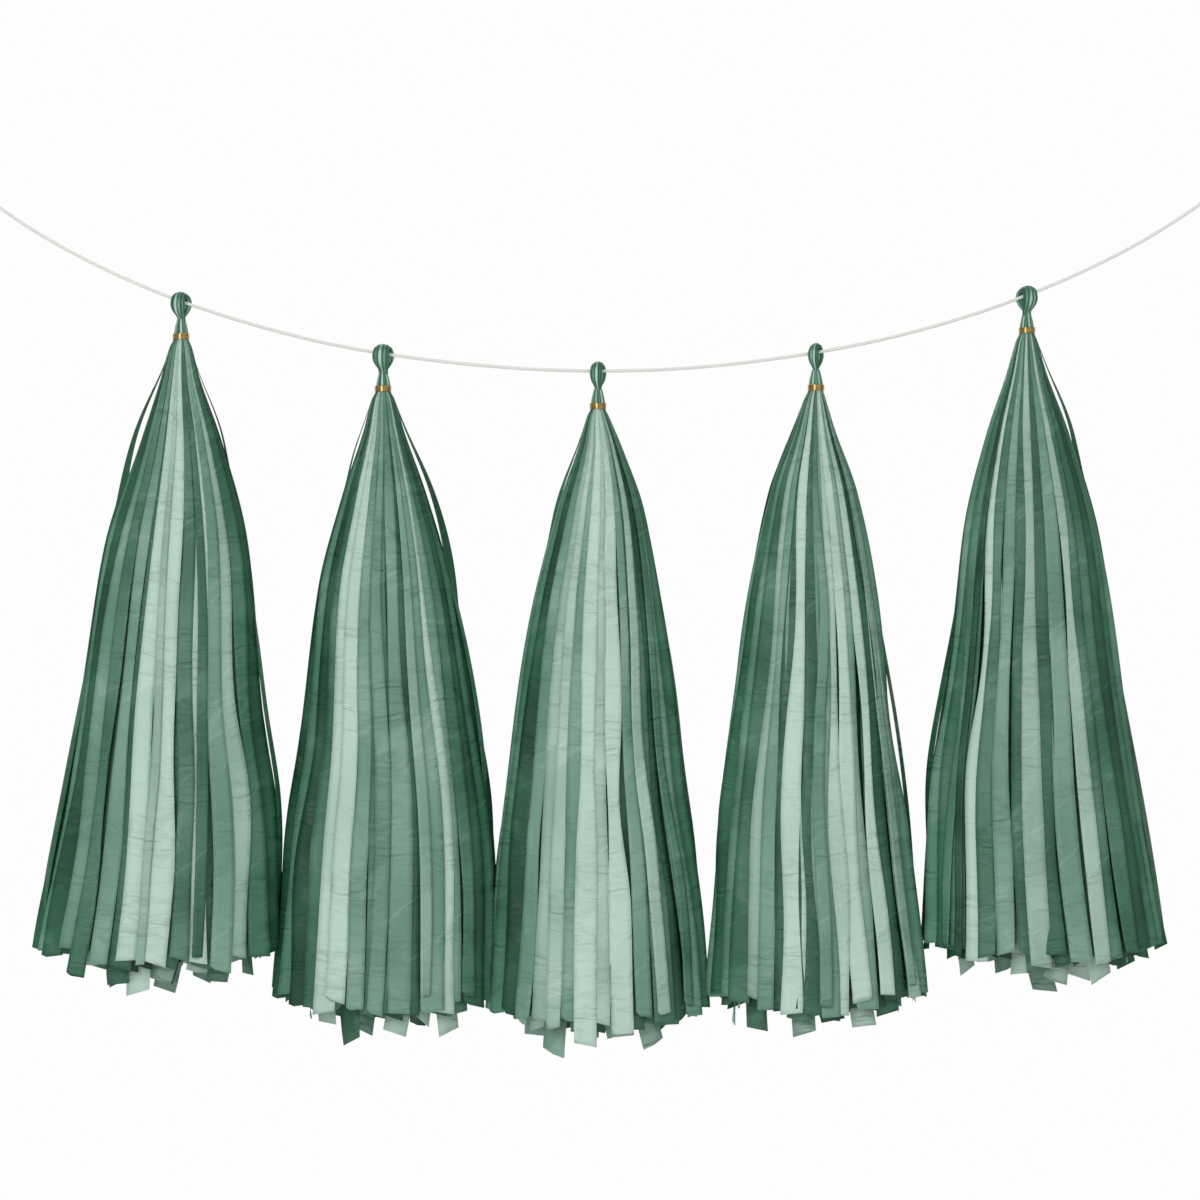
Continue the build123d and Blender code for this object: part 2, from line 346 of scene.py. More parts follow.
def crumpled(tree, tone, height):
    """The tone and height of paper that was crumpled and smoothed out before it was cut: wrinkles that
    run across the strips in clusters, a few long creases and soft slanted swirls. The tone also gets
    painted light: patches of painted sheen, a faint painted highlight along the wrinkles and creases, a
    painted sheen along the swirls, and a thin line of painted light and shade along the strips' cut
    edges. Places on the flat paper are in millimetres, so that a scale of 1 / 17 makes a pattern 17 mm
    large."""
    paper = add_node(tree, "ShaderNodeUVMap", {"uv_map": "paper"}).outputs[0]
    bend = add_node(tree, "ShaderNodeTexNoise", {"noise_dimensions": "2D"}, {
        "Vector": paper, "Scale": 1 / 17, "Detail": 1.0}).outputs["Color"]
    bent = add_node(tree, "ShaderNodeVectorMath", {"operation": "MULTIPLY_ADD"}, {
        0: bend, 1: (3, 6, 0), 2: paper}).outputs[0]
    wrinkles = lines_across(tree, bent, wide=32, tall=4.6, thin=0.18,
                            shown=patches(tree, paper, wide=30, tall=22, start=0.49, end=0.62))
    long_creases = lines_across(tree, bent, wide=80, tall=13, thin=0.04,
                                shown=patches(tree, paper, wide=48, tall=48, start=0.4, end=0.53))
    slanted = add_node(tree, "ShaderNodeMapping", inputs={
        "Vector": bent, "Rotation": (0, 0, 0.5)}).outputs[0]
    swirls = lines_across(tree, slanted, wide=44, tall=11, thin=0.09,
                          shown=patches(tree, bent, wide=40, tall=30, start=0.48, end=0.62))
    lines = add_node(tree, "ShaderNodeMath", {"operation": "MAXIMUM"}, {
        0: wrinkles, 1: long_creases}).outputs[0]
    flattened = add_node(tree, "ShaderNodeMapping", inputs={
        "Vector": bent, "Scale": (1 / 28, 1 / 3.6, 1)}).outputs[0]
    ridges = add_node(tree, "ShaderNodeTexNoise", {"noise_dimensions": "2D"}, {
        "Vector": flattened, "Scale": 1.0, "Detail": 1.0}).outputs[0]
    relief = add_node(tree, "ShaderNodeMath", {"operation": "MULTIPLY"}, {
        0: ridges, 1: patches(tree, paper, wide=34, tall=26, start=0.42, end=0.6)}).outputs[0]
    for pattern, rise in ((swirls, 0.45), (lines, 0.7), (relief, 6)):
        height = add_node(tree, "ShaderNodeMath", {"operation": "MULTIPLY_ADD"}, {
            0: pattern, 1: rise, 2: height}).outputs[0]
    cloud = add_node(tree, "ShaderNodeTexNoise", {"noise_dimensions": "2D"}, {
        "Vector": paper, "Scale": 1 / 34, "Detail": 2.0}).outputs[0]
    # Soft patches where the tone is painted paler and darker, as painted satin sheen
    patchy_sheen = add_node(tree, "ShaderNodeMath", {"operation": "SUBTRACT"}, {0: cloud, 1: 0.5}).outputs[0]
    # Painted light in the tone: the patches of sheen, a faint painted highlight along the wrinkle lines and a
    # painted sheen along the swirls
    for pattern, paler in ((patchy_sheen, 0.14), (lines, 0.02), (swirls, 0.07)):
        tone = add_node(tree, "ShaderNodeMath", {"operation": "MULTIPLY_ADD"}, {
            0: pattern, 1: paler, 2: tone}).outputs[0]
    # Painted light and shade along the strips' cut edges: near each edge the tone is paler where a painted
    # highlight lies on it and darker where painted shade lies on it, changing along the edge
    across = add_node(tree, "ShaderNodeAttribute", {"attribute_name": "across"}).outputs["Fac"]
    from_middle = add_node(tree, "ShaderNodeMath", {"operation": "ABSOLUTE"}, {0: across}).outputs[0]
    wear_and_edge_shading = add_node(tree, "ShaderNodeMapRange", inputs={
        "Value": cloud, "From Min": 0.35, "From Max": 0.65, "To Min": -0.16, "To Max": 0.12}).outputs[0]
    edge = add_node(tree, "ShaderNodeMapRange", {"interpolation_type": "SMOOTHSTEP"}, {
        "Value": from_middle, "From Min": 0.93, "From Max": 0.99, "To Min": 0.0, "To Max": wear_and_edge_shading}).outputs[0]
    tone = add_node(tree, "ShaderNodeMath", {"operation": "ADD"}, {0: tone, 1: edge}).outputs[0]
    return tone, height


def satin_paper(name, cut_flat):
    """Satin-coated tissue paper: a soft pearly shine, and light and shade painted into its tone: deep green
    in the folds and pale where it faces the light, and a richer, deeper green towards a skirt's sides as
    painted shade, greyer in front as painted sheen. Strips cut from a flat sheet also show how it was
    crumpled."""
    made, tree, shader = new_material(name)
    tone = add_node(tree, "ShaderNodeAttribute", {"attribute_name": "tone"}).outputs["Fac"]
    painted_richness = add_node(tree, "ShaderNodeAttribute", {"attribute_name": "painted_richness"}).outputs["Fac"]
    place = add_node(tree, "ShaderNodeTexCoord").outputs["Object"]
    grain = add_node(tree, "ShaderNodeTexNoise", inputs={
        "Vector": place, "Scale": per_metre(0.9), "Detail": 2.0}).outputs[0]
    height = add_node(tree, "ShaderNodeMath", {"operation": "MULTIPLY"}, {0: grain, 1: 0.06}).outputs[0]
    if cut_flat:
        tone, height = crumpled(tree, tone, height)
    plain = add_node(tree, "ShaderNodeValToRGB", inputs={"Fac": tone})
    set_stops(plain, [(0, "183b2a"), (0.25, "3f6653"), (0.5, "6f9180"), (0.75, "97b0a4"), (1, "b2c8bd")])
    rich = add_node(tree, "ShaderNodeValToRGB", inputs={"Fac": tone})
    set_stops(rich, [(0, "143826"), (0.25, "2a6245"), (0.5, "4e8269"), (0.75, "7ea392"), (1, "a6c4b5")])
    # The painted richness mixes a greyer green, painted sheen where a strip faces the front, with a deeper,
    # richer green, painted shade at a skirt's sides
    blend = add_node(tree, "ShaderNodeMix", {"data_type": "RGBA"}, {
        0: painted_richness, 6: plain.outputs[0], 7: rich.outputs[0]})
    tree.links.new(blend.outputs[2], shader.inputs["Base Color"])
    shader.inputs["Roughness"].default_value = 0.45
    shader.inputs["IOR"].default_value = 1.45
    shader.inputs["Specular IOR Level"].default_value = 0.3
    bump = add_node(tree, "ShaderNodeBump", inputs={
        "Height": height, "Strength": 0.8, "Distance": 0.5 * mm})
    tree.links.new(bump.outputs[0], shader.inputs["Normal"])
    return made


def brass_strip():
    """Thin brass strip, rolled, polished and lacquered: dark gold with one bright glint and faint lines
    round the band."""
    made, tree, shader = new_material("polished_brass_strip")
    place = add_node(tree, "ShaderNodeTexCoord")
    stretched = add_node(tree, "ShaderNodeMapping", inputs={
        "Vector": place.outputs["Object"], "Scale": (0.05, 0.05, 1)})
    lines = add_node(tree, "ShaderNodeTexNoise", inputs={
        "Vector": stretched.outputs[0], "Scale": per_metre(0.25), "Detail": 2.0})
    gold = add_node(tree, "ShaderNodeValToRGB", inputs={"Fac": lines.outputs[0]})
    set_stops(gold, [(0.3, "82682e"), (0.7, "b1964f")])
    tree.links.new(gold.outputs[0], shader.inputs["Base Color"])
    wear_and_edge_shading = add_node(tree, "ShaderNodeMapRange", inputs={
        "Value": lines.outputs[0], "To Min": 0.14, "To Max": 0.3})
    tree.links.new(wear_and_edge_shading.outputs[0], shader.inputs["Roughness"])
    shader.inputs["Metallic"].default_value = 1
    shader.inputs["Coat Weight"].default_value = 1
    shader.inputs["Coat Roughness"].default_value = 0.12
    bump = add_node(tree, "ShaderNodeBump", inputs={
        "Height": lines.outputs[0], "Strength": 0.1, "Distance": 0.05 * mm})
    tree.links.new(bump.outputs[0], shader.inputs["Normal"])
    return made


def cotton_twine():
    """Bleached cotton, three strands laid up: matt, with a fuzz of fibres. The fibres are drawn 0.35 mm
    thick, because real ones are too fine to show."""
    made, tree, shader = new_material("bleached_cotton_twine")
    place = add_node(tree, "ShaderNodeTexCoord")
    fibres = add_node(tree, "ShaderNodeTexNoise", inputs={
        "Vector": place.outputs["Object"], "Scale": per_metre(0.35), "Detail": 4.0, "Roughness": 0.6})
    cotton = add_node(tree, "ShaderNodeValToRGB", inputs={"Fac": fibres.outputs[0]})
    set_stops(cotton, [(0.3, "d2d3cd"), (0.7, "e6e6e1")])
    tree.links.new(cotton.outputs[0], shader.inputs["Base Color"])
    shader.inputs["Roughness"].default_value = 0.85
    shader.inputs["Sheen Weight"].default_value = 0.25
    bump = add_node(tree, "ShaderNodeBump", inputs={
        "Height": fibres.outputs[0], "Strength": 0.5, "Distance": 0.08 * mm})
    tree.links.new(bump.outputs[0], shader.inputs["Normal"])
    return made


def share_of_way(value, start, length):
    """How far a value has come from a start on a stretch of that length, from 0 to 1."""
    return min(max((value - start) / length, 0), 1)


def hump(value, start, end):
    """A round hump that rises from 0 to 1 and falls again between two places. It is 0 outside them."""
    if not start < value < end:
        return 0
    return math.sin(math.pi * (value - start) / (end - start))


def smooth_at(levels, place):
    """The values at one place of a table of rows, on a smooth curve through them that is carried on a
    little beyond the last row."""
    n = 0
    while n < len(levels) - 2 and levels[n + 1][0] < place:
        n += 1
    before, low = levels[max(n - 1, 0)], levels[n]
    high, after = levels[n + 1], levels[min(n + 2, len(levels) - 1)]
    span = high[0] - low[0]
    t = min(max((place - low[0]) / span, 0), 1.15)
    values = []
    for a, b, c, d in zip(before[1:], low[1:], high[1:], after[1:]):
        rise_low = (c - a) / max(high[0] - before[0], span) * span
        rise_high = (d - b) / max(after[0] - low[0], span) * span
        values.append(b * (2 * t**3 - 3 * t**2 + 1) + rise_low * (t**3 - 2 * t**2 + t)
                      + c * (3 * t**2 - 2 * t**3) + rise_high * (t**3 - t**2))
    return values


class Surface:
    """Points and faces of one piece, in millimetres, with the paper's tone and the painted richness of green
    at each point, and where on its strip that point lies: how far across, and its place on the flat paper."""

    def __init__(self):
        self.points = []
        self.faces = []
        self.marks = {"tone": [], "painted_richness": [], "across": []}
        self.flat = []

    def add_rows(self, rows, tones, painted_richness, ring=False, capped=False, flat=None):
        """Rows of points joined by faces. In a ring the last point of a row meets its first."""
        first = len(self.points)
        count = len(rows[0])
        for n, (row, row_tones) in enumerate(zip(rows, tones)):
            self.points += row
            self.marks["tone"] += row_tones
            self.marks["painted_richness"] += [painted_richness] * count
            self.marks["across"] += [2 * c / max(count - 1, 1) - 1 for c in range(count)]
            self.flat += flat[n] if flat else [(0, 0)] * count
        for upper in range(len(rows) - 1):
            for n in range(count if ring else count - 1):
                here, after = first + upper * count, (n + 1) % count
                self.faces.append((here + n, here + after, here + count + after, here + count + n))
        if capped:
            last = first + (len(rows) - 1) * count
            self.faces.append(tuple(range(first + count - 1, first - 1, -1)))
            self.faces.append(tuple(range(last, last + count)))

    def piece(self, name, material, body=None, slot=None):
        """The finished object, riding on its body."""
        mesh = bpy.data.meshes.new(name)
        mesh.from_pydata([Vector(p) * mm for p in self.points], [], self.faces)
        for mark, values in self.marks.items():
            mesh.attributes.new(mark, "FLOAT", "POINT").data.foreach_set("value", values)
        corners = mesh.uv_layers.new(name="paper")
        for loop in mesh.loops:
            corners.data[loop.index].uv = self.flat[loop.vertex_index]
        mesh.materials.append(material)
        mesh.shade_smooth()
        made = bpy.data.objects.new(name, mesh)
        bpy.context.collection.objects.link(made)
        if body:
            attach(made, body)
        return made


def nurbs_path(points):
    """Points along the smooth line whose control points are a route."""
    data = bpy.data.curves.new("route", "CURVE")
    data.dimensions = "3D"
    spline = data.splines.new("NURBS")
    spline.points.add(len(points) - 1)
    for point, spot in zip(spline.points, points):
        point.co = (*(Vector(spot) * mm), 1)
    spline.order_u = 3
    spline.use_endpoint_u = True
    spline.resolution_u = 32
    carrier = bpy.data.objects.new("route", data)
    bpy.context.collection.objects.link(carrier)
    bpy.context.view_layer.update()
    mesh = bpy.data.meshes.new_from_object(carrier)
    line = [vertex.co / mm for vertex in mesh.vertices]
    bpy.data.objects.remove(carrier)
    bpy.data.meshes.remove(mesh)
    return line


def evenly_spaced(line, step):
    """A spline's own line with its points a steady step apart, so that strands twist evenly along it."""
    spaced, left = [line[0]], step
    for start, end in zip(line, line[1:]):
        run = (end - start).length
        done = 0
        while run - done >= left:
            done += left
            spaced.append(start.lerp(end, done / run))
            left = step
        left -= run - done
    return spaced + [line[-1]]


def laid_twine(name, line, material):
    """Twisted strands that follow a line, as one mesh."""
    surface = Surface()
    points = evenly_spaced(line, strand_pitch / strand_steps)
    side = Vector((0, 1, 0))
    frames = []
    for n, point in enumerate(points):
        ahead = (points[min(n + 1, len(points) - 1)] - points[max(n - 1, 0)]).normalized()
        side = (side - ahead * side.dot(ahead)).normalized()
        frames.append((point, side, ahead.cross(side)))
    for strand in range(strand_count):
        rows = []
        for n, (point, side, up) in enumerate(frames):
            turn = full_turn * (n / strand_steps + strand / strand_count)
            middle = point + strand_offset * (math.cos(turn) * side + math.sin(turn) * up)
            rows.append([
                middle + strand_radius * (math.cos(corner) * side + math.sin(corner) * up)
                for corner in (full_turn * c / strand_sides for c in range(strand_sides))
            ])
        plain = [[0.5] * strand_sides for _ in rows]
        surface.add_rows(rows, plain, 0, ring=True, capped=True)
    return surface.piece(name, material, "cord_line", "cord")


def fold(turn, depth):
    """How full a gathered outline is at one place, with round folds and sharp valleys between them, and
    how near the place is to a fold's crest."""
    crest = abs(math.sin(turn))
    return 1 - depth * (1 - crest) ** 2, crest


def fold_tones(seed, count, paler):
    """A tone for each fold, every other one paler by up to this much."""
    chance = random.Random(seed)
    tones = []
    for n in range(count):
        more = paler * (n % 2) * chance.uniform(0.6, 1)
        tones.append(fold_tone + more + chance.uniform(-fold_tone_spread, fold_tone_spread))
    return tones


def head_stations():
    """Places along a head's loop, from the waist in front over the cord to the waist behind: side (1 in
    front and -1 behind), depth, height, share of the width, half thickness."""
    half_path = [(n, *row) for n, row in enumerate(head_path)]
    levels = [smooth_at(half_path, (len(head_path) - 1) * n / head_steps) for n in range(head_steps + 1)]
    return [(1, *level) for level in levels] + [(-1, *level) for level in reversed(levels[:-1])]


def head_tone(tone, crest, side, wide, height):
    """A fold's tone at one place of a head, with the light and shadow that lie on it there."""
    top = share_of_way(height, top_start, top_length)
    shine = head_bright if side < 0 else head_bright - head_dark_sides * abs(wide)
    glow = glow_strength * math.exp(-(wide / glow_wide) ** 2 - ((height - glow_height) / glow_tall) ** 2)
    valley = head_dark_valley + (1 - head_dark_valley) * crest
    return (tone + glow) * valley * (1 - head_dark_top * top) * shine


def head_loop(number, place, slope):
    """The tassel's head: a rope of folded paper looped over the cord, its strands crossed below."""
    width, yaw, cross = head_strands[number]
    surface = Surface()
    yaw = math.radians(yaw)
    eye = Vector((math.cos(yaw), -math.sin(yaw), 0))
    front = Vector((-math.sin(yaw), -math.cos(yaw), 0))
    stations = head_stations()
    sides = head_folds * fold_points
    paper = fold_tones(number, head_folds, 0.3)
    rows, tones = [], []
    for n, (side, depth, height, share, thick) in enumerate(stations):
        before, after = stations[max(n - 1, 0)], stations[min(n + 1, len(stations) - 1)]
        run = Vector((after[0] * after[1] - before[0] * before[1], after[2] - before[2]))
        run.normalize()
        low = share_of_way(-height, cross_drop, cross_length)
        middle = front * (side * depth) + Vector((side * cross * low**1.5, 0, height))
        outward = front * -run.y + Vector((0, 0, run.x))
        if outward.dot(front * side * depth + Vector((0, 0, height - eye_height))) < 0:
            outward.negate()
        row, row_tones = [], []
        for m in range(sides):
            corner = full_turn * m / sides
            twist = corner * head_folds / 2 + head_twist * math.sin(n / len(stations) * math.pi) + number
            full, crest = fold(twist, head_fold_depth)
            wide, out = math.cos(corner), math.sin(corner)
            if out < 0:
                full = 1 - (1 - full) / 2
            point = middle + eye * (wide * full * width * share / 2) + outward * (out * full * thick)
            point.z += slope * point.x * cord_lean * share_of_way(height, 0, lean_height)
            row.append(Vector(place) + point)
            tone = paper[int(twist / math.pi) % head_folds]
            row_tones.append(head_tone(tone, crest, side, wide, height))
        rows.append(row)
        tones.append(row_tones)
    surface.add_rows(rows, tones, 0.5, ring=True, capped=True)
    made = surface.piece(f"tassel_{number}_folded_head", twisted_paper, hanger(number), "sage_paper")
    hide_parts(f"tassel_{number}_head_loop")


def hanger(number):
    """The body that a tassel's head rides on. The middle tassel's head stays where it is on the cord."""
    return "cord_line" if number == 3 else f"tassel_{number}_head"


def neck(number, place):
    """The gathered paper between the pinched waist and the band."""
    surface = Surface()
    paper = fold_tones(number + 20, neck_folds, 0.65)
    sides = neck_folds * fold_points
    first, last = neck_levels[0][0], neck_levels[-1][0]
    rows, tones = [], []
    for n in range(neck_steps + 1):
        drop = first + (last - first) * n / neck_steps
        radius = smooth_at(neck_levels, drop)[0]
        row, row_tones = [], []
        for m in range(sides):
            corner = full_turn * m / sides
            twist = corner * neck_folds / 2 + neck_twist * (1 - n / neck_steps) + number
            full, crest = fold(twist, neck_fold_depth)
            row.append(Vector(place) + Vector((radius * full * math.cos(corner),
                                               radius * full * math.sin(corner), -drop)))
            tone = paper[int(twist / math.pi) % neck_folds]
            # Painted shade: the tone darkens towards each fold's valley
            row_tones.append(tone * (neck_valley_shade + (1 - neck_valley_shade) * crest**0.7))
        rows.append(row)
        tones.append(row_tones)
    surface.add_rows(rows, tones, 0.45, ring=True, capped=True)
    made = surface.piece(f"tassel_{number}_gathered_neck", twisted_paper, slot="sage_paper")
    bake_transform(made)


def waves(chance, count, lengths, most):
    """Slow waves that run round and down a skirt, so that neighbouring strips bend together: length,
    turns that they make round the skirt, phase and rise."""
    return [(chance.uniform(*lengths), chance.choice((-2, -1, 1, 2)), chance.uniform(0, full_turn),
             chance.uniform(0.5, 1) * most) for _ in range(count)]


def own_wave(chance, lengths, rises, loose):
    """A slow wave down a single strip, as one of those waves that makes no turns."""
    return chance.uniform(*lengths), 0, chance.uniform(0, full_turn), chance.uniform(*rises) * loose


def stretch(chance, starts, lengths):
    """The first and last drop of a stretch of a strip."""
    first = chance.uniform(*starts)
    return first, first + chance.uniform(*lengths)


def waved(parts, drop, turn):
    """How far such waves carry the paper at one place."""
    return sum(rise * math.sin(full_turn * drop / length + turns * turn + phase)
               for length, turns, phase, rise in parts)


@dataclass
class Strip:
    """One strip of a skirt, from under the band to its cut end. Chance gives it bends, shades and
    creases of its own."""
    skirt: object
    turn: float  # its place round the skirt, from the middle of the front
    width: float
    tone: float
    end: float  # drop of its cut end
    share: float = 1  # of the skirt's width, at which it hangs
    behind: float = 0  # how far it lies under the skirt's surface
    tilt: float = 0  # how far it is turned about its own length
    crowd: float = 1.12  # how soon below the band it has its full width
    aside: float = 0  # how far it bends aside on a stretch
    pinch: float = 0  # how much it may narrow on a stretch
    bulge: tuple = (0, 0, 0)  # first and last drop of a stretch, and how far out it hangs there
    flare: float = 0  # how far its end swings aside
    lift: float = 0  # how far its end stands off
    curl: float = 0.4  # how far its end may twist
    ragged: float = 0.13  # how slanting its end may be cut
    loose: float = 1  # how much it waves by itself
    rows: int = 116
    columns: int = 5

    def __post_init__(self):
        chance = self.skirt.chance
        self.own = [own_wave(chance, own_lengths, own_rises, self.loose) for _ in range(2)]
        self.sway = own_wave(chance, sway_lengths, sway_rises, self.loose)
        self.parted = stretch(chance, parted_from, parted_for)
        self.pinched = stretch(chance, pinched_from, pinched_for)
        self.narrowing = chance.choice((0, 1, 1)) * chance.uniform(0.3, 1) * self.pinch
        self.end_twist = chance.choice((0, 0, 1, -1)) * chance.uniform(0.3, 1) * self.curl
        self.skew = chance.uniform(-1, 1) * self.ragged
        self.notch = chance.choice((0, 0, cut_notch))
        self.top_tone = self.tone * chance.uniform(0.75, 1.15)
        # A slow wave of painted sheen down its length: length, turns, phase and rise
        self.shading = (chance.uniform(*shading_lengths), 0, chance.uniform(0, full_turn), shading_rise)
        # How far its wrinkles are off those of the strips beside it: a little, or so far that none meet
        self.creased_by = chance.choice((0.2, 0.6, 8)) * chance.uniform(-2.5, 2.5)

    def level(self, drop):
        """Its middle, the way that it faces and its width, at one drop."""
        skirt = self.skirt
        x, y, facing, half = skirt.spot(drop, self.turn, self.share)
        grown = min(half / skirt.full_half, 1)
        low = share_of_way(drop, self.end - free_end, free_end)
        side = waved(skirt.sideways, drop, self.turn) + waved(self.own, drop, self.turn)
        side += self.aside * hump(drop, *self.parted) ** 2
        x += self.bulge[2] * hump(drop, *self.bulge[:2]) ** 1.2
        out = waved(skirt.outward, drop, self.turn) - self.behind
        out += self.lift * low**2 / max(grown, 0.3)
        outwards = Vector((math.sin(facing), -math.cos(facing), 0))
        facing -= self.tilt * min(grown * 1.6, 1)
        facing += waved([self.sway], drop, self.turn) + self.end_twist * low**2
        along = Vector((math.cos(facing), math.sin(facing), 0))
        middle = Vector((x, y, -drop)) + along * (side * grown + self.flare * low**2)
        middle += outwards * out * grown
        width = self.width * min(1, grown * self.crowd)
        width *= 1 - self.narrowing * hump(drop, *self.pinched) ** 2
        return middle, Vector((math.sin(facing), -math.cos(facing), 0)), width

    def shade(self, drop):
        """Its tone at one drop. The one that it was given sets in over a stretch below the band, and a slow
        wave of painted sheen runs down it.
        """
        climb = share_of_way(drop, strips_start, tone_stretch)
        shade = self.top_tone + (self.tone - self.top_tone) * climb * climb * (3 - 2 * climb)
        return shade + waved([self.shading], drop, 0)

    def add_to(self, surface):
        """Adds its rows of points, with their tones and their places on the flat paper."""
        length = self.end - strips_start
        levels = [self.level(strips_start + length * n / (self.rows - 1)) for n in range(self.rows)]
        middles = [middle for middle, _, _ in levels]
        grid, tones, flat = [], [], []
        for n, (middle, normal, width) in enumerate(levels):
            run = (middles[min(n + 1, self.rows - 1)] - middles[max(n - 1, 0)]).normalized()
            across = run.cross(normal).normalized()
            if across.dot(Vector((-normal.y, normal.x, 0))) < 0:
                across.negate()
            row, places = [], []
            for c in range(self.columns):
                place = 2 * c / (self.columns - 1) - 1
                point = middle + across * (place * width / 2)
                if n == self.rows - 1:
                    point += run * (self.skew * place * width)
                    if c == 0:
                        point -= run * self.notch
                row.append(self.skirt.place + point)
                places.append((middle.x + place * width / 2, -middle.z + self.creased_by))
            grid.append(row)
            flat.append(places)
            tones.append([self.shade(-middle.z)] * self.columns)
        # Painted light: the further a strip turns to a skirt's side, the richer and deeper its green, as
        # painted shade; in front it stays greyer, as painted sheen
        painted_richness = min(1, 0.15 + 0.85 * abs(math.sin(self.turn)) ** 3)
        surface.add_rows(grid, tones, painted_richness, flat=flat)


class Skirt:
    """One tassel's skirt: the shape that its strips follow, and its three sheets."""

    def __init__(self, number, place):
        self.number = number
        self.place = Vector(place)
        self.chance = random.Random(random_seed + number)
        self.outward = waves(self.chance, 3, (90, 180), 0.35)
        self.sideways = waves(self.chance, 3, (130, 280), 0.55)
        left, right = reaches[number]
        self.outline = list(zip(outline_drops, left, right, front_reaches))
        self.full_half = self.spot(reference_drop, 0, 1)[3]

    def spot(self, drop, turn, share):
        """A place on the skirt's surface, the way the surface faces there, and half the skirt's width."""
        left, right, front = smooth_at(self.outline, drop)
        half, lean = (left + right) / 2, (right - left) / 2
        x = lean + share * half * math.sin(turn)
        y = -share * front * math.cos(turn)
        facing = math.atan2(math.sin(turn) / half, math.cos(turn) / front)
        return x, y, facing, half

    def hem(self, turn):
        """How low the outer strips hang at one place round the skirt."""
        uneven = self.chance.uniform(-hem_uneven, hem_uneven)
        return hem_drops[self.number] - hem_lift * math.sin(turn) ** 2 + uneven

    def chance_tone(self, from_middle):
        """A tone for a strip that isn't noted: mostly light in the middle of the skirt, and dark at its
        sides, as painted shade.
        """
        if from_middle > dark_from:
            return self.chance.uniform(*shaded_side_tones)
        return self.chance.choice(middle_tones) + self.chance.uniform(0, middle_tone_spread)

    def spans(self, noted):
        """The strips that show on one side, left to right: edges in millimetres at the hem, tone, and how
        much lower a noted strip hangs. The noted ones keep their place, others fill the room between.
        The last place only marks the skirt's right edge."""
        half = self.full_half
        found, edge, before = [], -half, dark
        for place, width, tone, longer in [*noted, (1 + 1 / half, 2, None, 0)]:
            room = place * half - width / 2 - edge
            shown = shown_width * (narrow_share if abs(edge + room / 2) > narrow_from * half else 1)
            count = max(round(room / shown), 1 if room > least_room else 0)
            shares = [self.chance.uniform(0.3, 1.7) for _ in range(count)]
            for share in shares:
                wide = room * share / sum(shares)
                from_middle = abs(edge + wide / 2) / half
                choice = self.chance_tone(from_middle)
                while abs(choice - before) < least_contrast:
                    choice = self.chance_tone(from_middle)
                found.append((edge, edge + wide, choice, None))
                edge += wide
                before = choice
            if tone is not None:
                found.append((edge, edge + width, tone, longer))
                edge += width
                before = tone
        return found

    def layers(self, found, divide):
        """How many strips have lain one under the other since the last noted one, counted outwards from
        the middle, for each of the strips found."""
        depths = [0] * len(found)
        outwards = sorted(range(len(found)), key=lambda n: abs(found[n][0] + found[n][1] - 2 * divide))
        for side in (-1, 1):
            depth = 0
            for n in outwards:
                left, right, _, longer = found[n]
                if (1 if (left + right) / 2 > divide else -1) == side:
                    depth = 0 if longer is not None else depth + 1
                    depths[n] = depth
        return depths

    def hang(self, surface, turn, width, tone, end, **manner):
        """Makes one strip and counts the width that it takes of its sheet."""
        self.cut_width += width
        Strip(self, turn, width, tone, end, **manner).add_to(surface)

    def half_round(self, surface, noted, at_back):
        """The outer strips of the front or of the back."""
        divide = min(noted, key=lambda strip: abs(strip[0]))[0] * self.full_half
        found = self.spans(noted)
        for (left, right, tone, longer), depth in zip(found, self.layers(found, divide)):
            middle = (left + right) / 2
            side = 1 if middle > divide else -1
            place = middle / self.full_half
            tilt = side * (slat_tilt + side_tilt * place**4)
            shown = right - left
            if longer is None:
                width = hidden_width
                across = width * math.cos(math.asin(min(abs(place), rim)) * turned_share)
                middle -= side * (across - shown) / 2
                manner = {"behind": stand_out + layer_step * (depth - 1), **hidden_manner}
            else:
                width = shown + overlap
                manner = noted_manner
            place = min(max(middle / self.full_half, -outermost), outermost)
            turn = math.asin(place)
            if at_back:
                turn = math.pi - turn
                tilt = -tilt
            aside = self.chance.choice((-1, 0, 1)) * self.chance.uniform(0.4, 1) * parting
            if longer is not None:
                aside *= noted_parting
            end = self.hem(turn) + (0 if at_back else longer or 0)
            self.hang(surface, turn, width, tone, end, tilt=tilt, aside=aside, **manner)
        for n in range(stray_strips):
            place = self.chance.uniform(*stray_places)
            turn = math.pi - math.asin(place) if at_back else math.asin(place)
            self.hang(surface, turn, self.chance.uniform(*stray_widths), self.chance.uniform(*stray_tones),
                      self.hem(turn) - self.chance.uniform(*stray_shorter), behind=-stray_gap * (n + 2),
                      aside=self.chance.choice((-1, 1)) * self.chance.uniform(0.4, 1.2) * parting,
                      loose=stray_loose)

    def outer(self):
        """The outer sheet. Its back has the strips that another tassel has in front."""
        surface = Surface()
        self.cut_width = 0
        self.half_round(surface, noted_strips[self.number], False)
        self.half_round(surface, noted_strips[self.number % len(noted_strips) + 1], True)
        for side in (-1, 1):
            for degrees in side_strips:
                turn = side * math.radians(degrees)
                self.hang(surface, turn, full_width, self.chance.uniform(*shaded_side_strip_tones),
                          self.hem(turn), behind=2 * stand_out, share=side_share)
        for side, first, last, far, width, tone, turned in loose_ribbons[self.number]:
            turn = side * math.radians(ribbon_place)
            self.hang(surface, turn, width, tone, self.hem(turn), behind=0.5, tilt=side * turned,
                      bulge=(first, last, side * far), loose=0.5)
        self.sheet(surface, "outer", "pale_paper")

